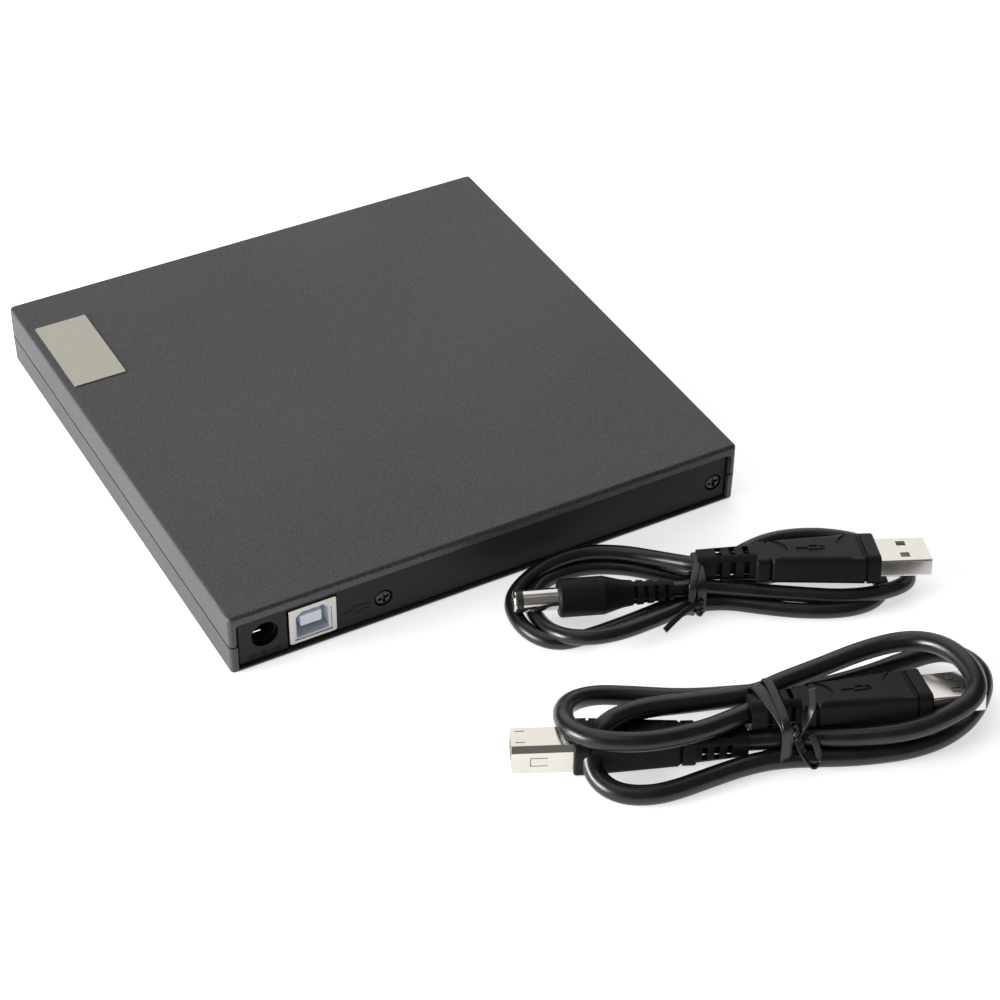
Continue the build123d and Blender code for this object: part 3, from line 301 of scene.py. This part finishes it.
# Each slot: what makes it, its colour, its roughness and whatever else it needs
SLOTS = {
    "top_cover_plastic": (moulded_plastic, CASE_GREY, 0.44, ERODED),
    "bottom_cover_plastic": (moulded_plastic, BASE_GREY, 0.46, ERODED),
    "bezel_plastic": (moulded_plastic, BASE_GREY, 0.45, {}),
    "panel_plastic": (moulded_plastic, (0.007, 0.007, 0.008), 0.55, {"relief": 0.00002, "shine": 0.25}),
    "foot_rubber": (moulded_plastic, (0.02, 0.02, 0.02), 0.8, {}),
    "usb_b_insert_plastic": (
        moulded_plastic, (0.74, 0.79, 0.88), 0.45, {"grain": 3000, "relief": 0.000005, "contrast": 0.03},
    ),
    "jack_plastic": (moulded_plastic, (0.012, 0.012, 0.013), 0.4, {}),
    "chip_black": (moulded_plastic, SOFT_BLACK, 0.5, {"grain": 4200, "relief": 0.000006}),
    "connector_black": (moulded_plastic, (0.02, 0.02, 0.021), 0.42, {}),
    "tray_plastic": (moulded_plastic, (0.022, 0.022, 0.024), 0.5, {}),
    "turntable_plastic": (moulded_plastic, SOFT_BLACK, 0.55, {}),
    "claw_plastic": (moulded_plastic, (0.72, 0.72, 0.68), 0.35, POLISHED),
    "lens_plastic": (moulded_plastic, (0.02, 0.03, 0.09), 0.18, {"grain": 3000, "relief": 0.000003}),
    "plug_white": (moulded_plastic, (0.76, 0.77, 0.78), 0.4, POLISHED),
    "plug_vinyl": (moulded_plastic, (0.007, 0.007, 0.008), 0.5, {"grain": 3800, "shine": 0.15}),
    "flex_foil": (soft_vinyl, (0.52, 0.28, 0.06), 0.25, {}),
    "cord_vinyl": (soft_vinyl, (0.006, 0.006, 0.007), 0.3, {}),
    "tie_plastic": (soft_vinyl, (0.007, 0.007, 0.008), 0.35, {}),
    "screw_steel": (plated_metal, (0.06, 0.06, 0.065), 0.35, {}),
    "usb_b_nickel": (plated_metal, (0.50, 0.475, 0.44), 0.25, {}),
    "contact_gold": (plated_metal, (0.75, 0.52, 0.20), 0.2, {}),
    "jack_pin_metal": (plated_metal, (0.82, 0.80, 0.76), 0.18, {}),
    "fastener_steel": (plated_metal, (0.58, 0.58, 0.58), 0.28, {}),
    "rod_steel": (plated_metal, (0.72, 0.72, 0.72), 0.14, {}),
    "plug_nickel": (plated_metal, (0.72, 0.69, 0.635), 0.16, {}),
    "badge_metal": (rolled_sheet, (0.44, 0.42, 0.36), 0.4, {"along": (30, 1, 30)}),
    "drive_steel": (rolled_sheet, (0.60, 0.61, 0.62), 0.34, {}),
    "rail_steel": (rolled_sheet, (0.62, 0.63, 0.64), 0.3, {"along": (40, 1, 40)}),
    "plate_steel": (rolled_sheet, (0.58, 0.59, 0.60), 0.32, {"along": (1, 30, 30)}),
    "motor_steel": (rolled_sheet, (0.52, 0.52, 0.53), 0.3, {"along": (20, 20, 1)}),
    "sled_zinc": (cast_metal, (0.42, 0.42, 0.41), 0.5, {}),
}


def make_finishes():
    """One Blender material for every slot in the record."""
    finishes = {
        slot: make(slot, colour, roughness, **settings)
        for slot, (make, colour, roughness, settings) in SLOTS.items()
    }
    finishes["board_green"] = board_laminate("board_green")
    finishes["led_clear"] = clear_acrylic("led_clear")
    return finishes


def finish_nodes(finishes):
    """Puts its own slot's material on each CAD node."""
    slots = {part["node"]: part["material_slot"] for part in frame["record"]["subparts"]}
    for name, node in NODES.items():
        node.data.materials.clear()
        node.data.materials.append(finishes[slots[name]])


def finish_piece(piece, slot, finishes):
    """Gives a piece that is drawn here its slot's material and the body that it is part of."""
    piece.data.materials.append(finishes[slot])
    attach(piece, ROOT)


# Cords: diameters and control points in millimetres, one open line from plug to plug

POWER_CORD = 3.9
POWER_ROUTE = (
    (-33.4, 100.7, 6.3), (-37.6, 102.1, 6.1), (-41.4, 102.8, 5.6), (-46.6, 105.4, 5.0),
    (-53.0, 109.8, 4.8), (-61.8, 115.6, 4.6), (-70.8, 121.0, 4.2), (-79.4, 124.2, 4.4),
    (-86.8, 124.6, 4.4), (-90.7, 120.8, 3.2), (-91.8, 113.4, 2.2), (-89.6, 105.6, 2.0),
    (-84.8, 99.8, 2.0), (-77.9, 95.0, 2.0), (-69.0, 92.0, 2.0), (-60.4, 92.4, 2.0),
    (-51.6, 95.2, 2.0), (-43.6, 97.0, 2.0), (-38.4, 92.0, 2.0), (-32.0, 85.0, 2.0),
    (-23.4, 79.6, 2.0), (-13.6, 78.2, 2.0), (-6.6, 80.8, 2.0), (-2.6, 86.8, 2.0),
    (-1.8, 94.6, 2.6), (-3.4, 101.6, 4.6), (-8.6, 105.6, 5.2), (-15.8, 107.4, 5.3),
    (-25.0, 107.2, 5.2), (-34.4, 105.8, 4.2), (-40.2, 105.0, 2.4), (-46.4, 107.2, 2.0),
    (-52.0, 112.0, 2.0), (-60.0, 118.2, 2.0), (-69.2, 123.0, 2.0), (-76.4, 124.2, 2.0),
    (-81.8, 122.2, 2.0), (-84.4, 117.2, 2.0), (-82.8, 111.8, 2.0), (-77.0, 107.6, 2.0),
    (-67.6, 105.0, 2.0), (-57.0, 103.2, 2.0), (-48.0, 101.8, 2.0), (-40.0, 101.0, 2.0),
    (-30.6, 101.6, 2.0), (-19.4, 102.0, 2.0), (-9.8, 101.8, 2.0), (-2.2, 100.6, 2.0),
    (1.8, 95.2, 2.0), (2.4, 88.6, 2.0), (0.6, 82.0, 2.0), (-4.6, 78.0, 2.6),
    (-12.8, 76.6, 4.8), (-22.8, 77.4, 5.2), (-31.0, 82.4, 5.4), (-36.6, 88.8, 6.2),
    (-39.8, 94.0, 7.6), (-41.6, 97.0, 8.5), (-43.2, 98.4, 8.8),
)
DATA_CORD = 4.8
DATA_ROUTE = (
    (-21.7, 152.0, 5.0), (-26.6, 154.2, 5.1), (-33.0, 157.4, 5.8), (-42.2, 164.0, 7.0),
    (-54.4, 170.6, 8.8), (-65.0, 172.0, 10.6), (-73.0, 171.4, 13.0), (-75.6, 164.2, 14.6),
    (-75.4, 154.2, 13.4), (-71.2, 146.6, 10.8), (-61.4, 143.2, 9.2), (-47.4, 143.2, 9.0),
    (-36.0, 143.2, 9.2), (-29.8, 144.4, 9.6), (-13.8, 140.0, 10.4), (-3.6, 137.2, 11.2),
    (4.2, 137.4, 12.0), (9.2, 138.0, 10.0), (12.4, 140.4, 5.6), (12.8, 144.6, 2.6),
    (11.2, 150.0, 2.4), (6.6, 153.8, 2.4), (0.0, 155.8, 2.4), (-11.5, 156.2, 2.4),
    (-20.4, 156.8, 2.4), (-28.6, 158.8, 2.4), (-44.8, 167.1, 2.4), (-59.8, 171.6, 2.6),
    (-72.4, 170.0, 3.6), (-80.5, 164.6, 5.2), (-83.4, 159.2, 5.8), (-82.8, 152.4, 5.2),
    (-79.8, 147.4, 4.0), (-70.4, 145.6, 2.8), (-61.0, 145.2, 2.4), (-46.6, 143.4, 2.6),
    (-32.7, 138.8, 3.8), (-18.8, 132.6, 3.2), (-7.5, 125.0, 3.0), (0.6, 121.4, 4.0),
    (8.4, 122.8, 6.0), (13.4, 129.2, 9.0), (14.6, 137.0, 11.2), (10.0, 143.6, 12.2),
    (1.0, 148.4, 12.2), (-11.4, 149.8, 11.0), (-19.6, 149.2, 10.2), (-25.2, 148.8, 9.9),
)
CURVE_STEPS = 12


def add_spline(data, places):
    """A smooth spline in that curve, drawn by control points given in millimetres."""
    spline = data.splines.new("NURBS")
    spline.points.add(len(places) - 1)
    for point, place in zip(spline.points, places):
        point.co = (*metres(place), 1)
    spline.order_u = 3
    return spline


def nurbs_line(name, points, radius):
    """An open smooth line through the room, with a round section; all in millimetres."""
    data = bpy.data.curves.new(name, "CURVE")
    data.dimensions = "3D"
    spline = add_spline(data, points)
    spline.use_endpoint_u = True
    data.resolution_u = CURVE_STEPS
    data.bevel_depth = radius * MM
    data.bevel_resolution = 6
    data.use_fill_caps = True
    return add_object(name, data)


def line_length(line):
    """The length of the line itself, in metres."""
    bare = line.data.copy()
    bare.bevel_depth = 0
    probe = bpy.data.objects.new("probe", bare)
    mesh = bpy.data.meshes.new_from_object(probe)
    points = [vertex.co.copy() for vertex in mesh.vertices]
    bpy.data.meshes.remove(mesh)
    bpy.data.objects.remove(probe)
    bpy.data.curves.remove(bare)
    return sum((b - a).length for a, b in zip(points, points[1:]))


def add_cord(name, route, diameter, hank, finishes):
    """A cord that stands for its CAD hank, which it hides."""
    line = nurbs_line(name, route, diameter / 2)
    finish_piece(line, "cord_vinyl", finishes)
    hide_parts(hank)
    round(line_length(line), 3)


def make_cords(finishes):
    add_cord("power_cord", POWER_ROUTE, POWER_CORD, "power_cord_hank", finishes)
    add_cord("data_cord", DATA_ROUTE, DATA_CORD, "data_cord_hank", finishes)


# The round plug's black collar, turned about the barrel's axis

BARREL_TIP = (2.3, 86.5, 6.3)
BARREL_HEADING = (-0.929, 0.369, 0)
# Along the axis from the tip, and out from it, in millimetres
COLLAR_PROFILE = (
    (-0.02, 1.75), (-0.1, 1.85), (-0.05, 2.3), (0.7, 2.82), (2.2, 2.88), (2.3, 2.8), (2.3, 2.6),
)
COLLAR_SIDES = 48


def collar_mesh():
    """The collar's profile, swept once round the X axis."""
    spots, faces = [], []
    count = len(COLLAR_PROFILE)
    for side in range(COLLAR_SIDES):
        angle = 2 * math.pi * side / COLLAR_SIDES
        for along, radius in COLLAR_PROFILE:
            spots.append(metres((along, radius * math.cos(angle), radius * math.sin(angle))))
        here, there = side * count, (side + 1) % COLLAR_SIDES * count
        for step in range(count - 1):
            faces.append((here + step, there + step, there + step + 1, here + step + 1))
    mesh = bpy.data.meshes.new("plug_ring")
    mesh.from_pydata(spots, [], faces)
    return mesh


def plug_ring(finishes):
    """The black insulating collar round the nose of the power plug's barrel."""
    ring = add_object("plug_ring", collar_mesh())
    ring.location = metres(BARREL_TIP)
    ring.rotation_euler = Vector(BARREL_HEADING).to_track_quat("X", "Z").to_euler()
    finish_piece(ring, "jack_plastic", finishes)


# Ties: a flat band round each bundle, its ends twisted together and left loose; in millimetres

BAND_POINTS = 16
# The circle's radius and the depth of its three waves, as shares of the box's half size
BAND_SWELL = 1.2992
BAND_WAVE = 0.0348
CLEAR_OF_FLOOR = 0.1


def band_outline(across, tall, phase):
    """A circle swollen past its box and held inside it, which leaves soft corners."""
    places = []
    for step in range(BAND_POINTS):
        angle = 2 * math.pi * step / BAND_POINTS
        swell = BAND_SWELL + BAND_WAVE * math.sin(3 * angle + phase)
        x = max(-1, min(1, swell * math.cos(angle))) * across
        y = max(-1, min(1, swell * math.sin(angle))) * tall
        places.append((x, y, 0))
    return places


def band_stand(centre, heading, height, lean):
    """Where a band that high stands: on the floor, across heading and turned by lean."""
    forward = Vector((*heading, 0)).normalized()
    side = Vector((forward.y, -forward.x, 0))
    up = Vector((0, 0, 1))
    axes = Matrix((side, up, side.cross(up))).transposed().to_4x4()
    place = Vector((*centre, height / 2 + CLEAR_OF_FLOOR)) * MM
    return Matrix.Translation(place) @ Matrix.Rotation(lean, 4, "Z") @ axes


def flat_band(name, centre, heading, size, width, sheet, lean):
    """A closed flat band standing across heading; size is its width and height outside."""
    data = bpy.data.curves.new(name, "CURVE")
    data.dimensions = "2D"
    data.fill_mode = "NONE"
    data.extrude = (width - sheet) / 2 * MM
    data.bevel_depth = sheet / 2 * MM
    data.bevel_resolution = 2
    data.resolution_u = 8
    outline = band_outline((size[0] - sheet) / 2, (size[1] - sheet) / 2, centre[0])
    spline = add_spline(data, outline)
    spline.use_cyclic_u = True
    band = add_object(name, data)
    band.matrix_world = band_stand(centre, heading, size[1], lean)
    return band


def ribbon(name, points, width, sheet, tilt):
    """A loose flat tail that follows the points."""
    tail = nurbs_line(name, points, sheet / 2)
    tail.data.extrude = (width - sheet) / 2 * MM
    tail.data.twist_mode = "Z_UP"
    for point in tail.data.splines[0].points:
        point.tilt = tilt
    return tail


def twist(name, start, end, radius, wire):
    """Two wires wound twice round each other from start to end."""
    turns, steps = 2, 16
    start, end = Vector(start), Vector(end)
    axis = (end - start).normalized()
    side = axis.orthogonal().normalized()
    other = axis.cross(side)
    strands = []
    for phase, label in ((0, "a"), (math.pi, "b")):
        points = []
        for step in range(steps + 1):
            angle = 2 * math.pi * turns * step / steps + phase
            offset = side * math.cos(angle) * radius + other * math.sin(angle) * radius
            points.append(tuple(start.lerp(end, step / steps) + offset))
        strands.append(nurbs_line(f"{name}_{label}", points, wire / 2))
    return strands


def finish_tie(pieces, node, finishes):
    """Puts the pieces of a tie on the case's body, in place of its plain CAD ring."""
    for piece in pieces:
        finish_piece(piece, "tie_plastic", finishes)
    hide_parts(node)


def power_tie(finishes):
    sheet = 0.5
    heading = (-0.865, 0.50)
    tail = ((-37.6, 107.0, 5.6), (-35.0, 108.6, 6.4), (-30.6, 109.8, 6.6), (-25.4, 111.6, 5.2))
    pieces = [
        flat_band("power_tie_band", (-41.3, 100.9), heading, (13.6, 11.0), 2.4, sheet, 0.10),
        flat_band("power_tie_lap", (-40.4, 101.1), heading, (14.0, 11.4), 1.8, sheet, -0.16),
        *twist("power_tie_twist", (-38.4, 106.6, 6.2), (-37.2, 108.4, 2.6), 0.55, 1.0),
        ribbon("power_tie_tail", tail, 1.5, sheet, 0.7),
    ]
    finish_tie(pieces, "power_tie", finishes)


def data_tie(finishes):
    sheet = 0.6
    heading = (-1.0, 0.16)
    tail_up = ((-31.0, 159.8, 9.0), (-34.2, 159.4, 12.6), (-35.4, 158.4, 16.4), (-35.2, 157.6, 20.0))
    tail_down = (
        (-30.8, 160.6, 8.4), (-30.4, 162.0, 6.8), (-31.4, 163.4, 3.4), (-33.2, 164.2, 1.2),
        (-34.8, 164.0, 3.2), (-34.4, 162.6, 7.0), (-33.6, 161.2, 9.6),
    )
    pieces = [
        flat_band("data_tie_band", (-28.4, 152.0), heading, (17.6, 14.0), 3.0, sheet, 0.08),
        flat_band("data_tie_lap", (-30.0, 152.0), heading, (18.2, 14.4), 2.2, sheet, -0.12),
        *twist("data_tie_twist", (-30.6, 158.6, 10.8), (-31.4, 161.4, 5.4), 0.7, 1.2),
        ribbon("data_tie_tail_up", tail_up, 1.8, sheet, 1.2),
        ribbon("data_tie_tail_down", tail_down, 1.8, sheet, 1.2),
    ]
    finish_tie(pieces, "data_tie", finishes)


# Floor

def make_floor():
    """A plain pale sheet that reaches far past the object."""
    reach = 6.0
    corners = [(-reach, -reach, 0), (reach, -reach, 0), (reach, reach, 0), (-reach, reach, 0)]
    mesh = bpy.data.meshes.new("floor")
    mesh.from_pydata(corners, [], [(0, 1, 2, 3)])
    mesh.materials.append(floor_paper("floor_paper"))
    add_object("floor", mesh)


make_camera()
make_lights()
make_world()
finishes = make_finishes()
finish_nodes(finishes)
make_cords(finishes)
plug_ring(finishes)
power_tie(finishes)
data_tie(finishes)
make_floor()
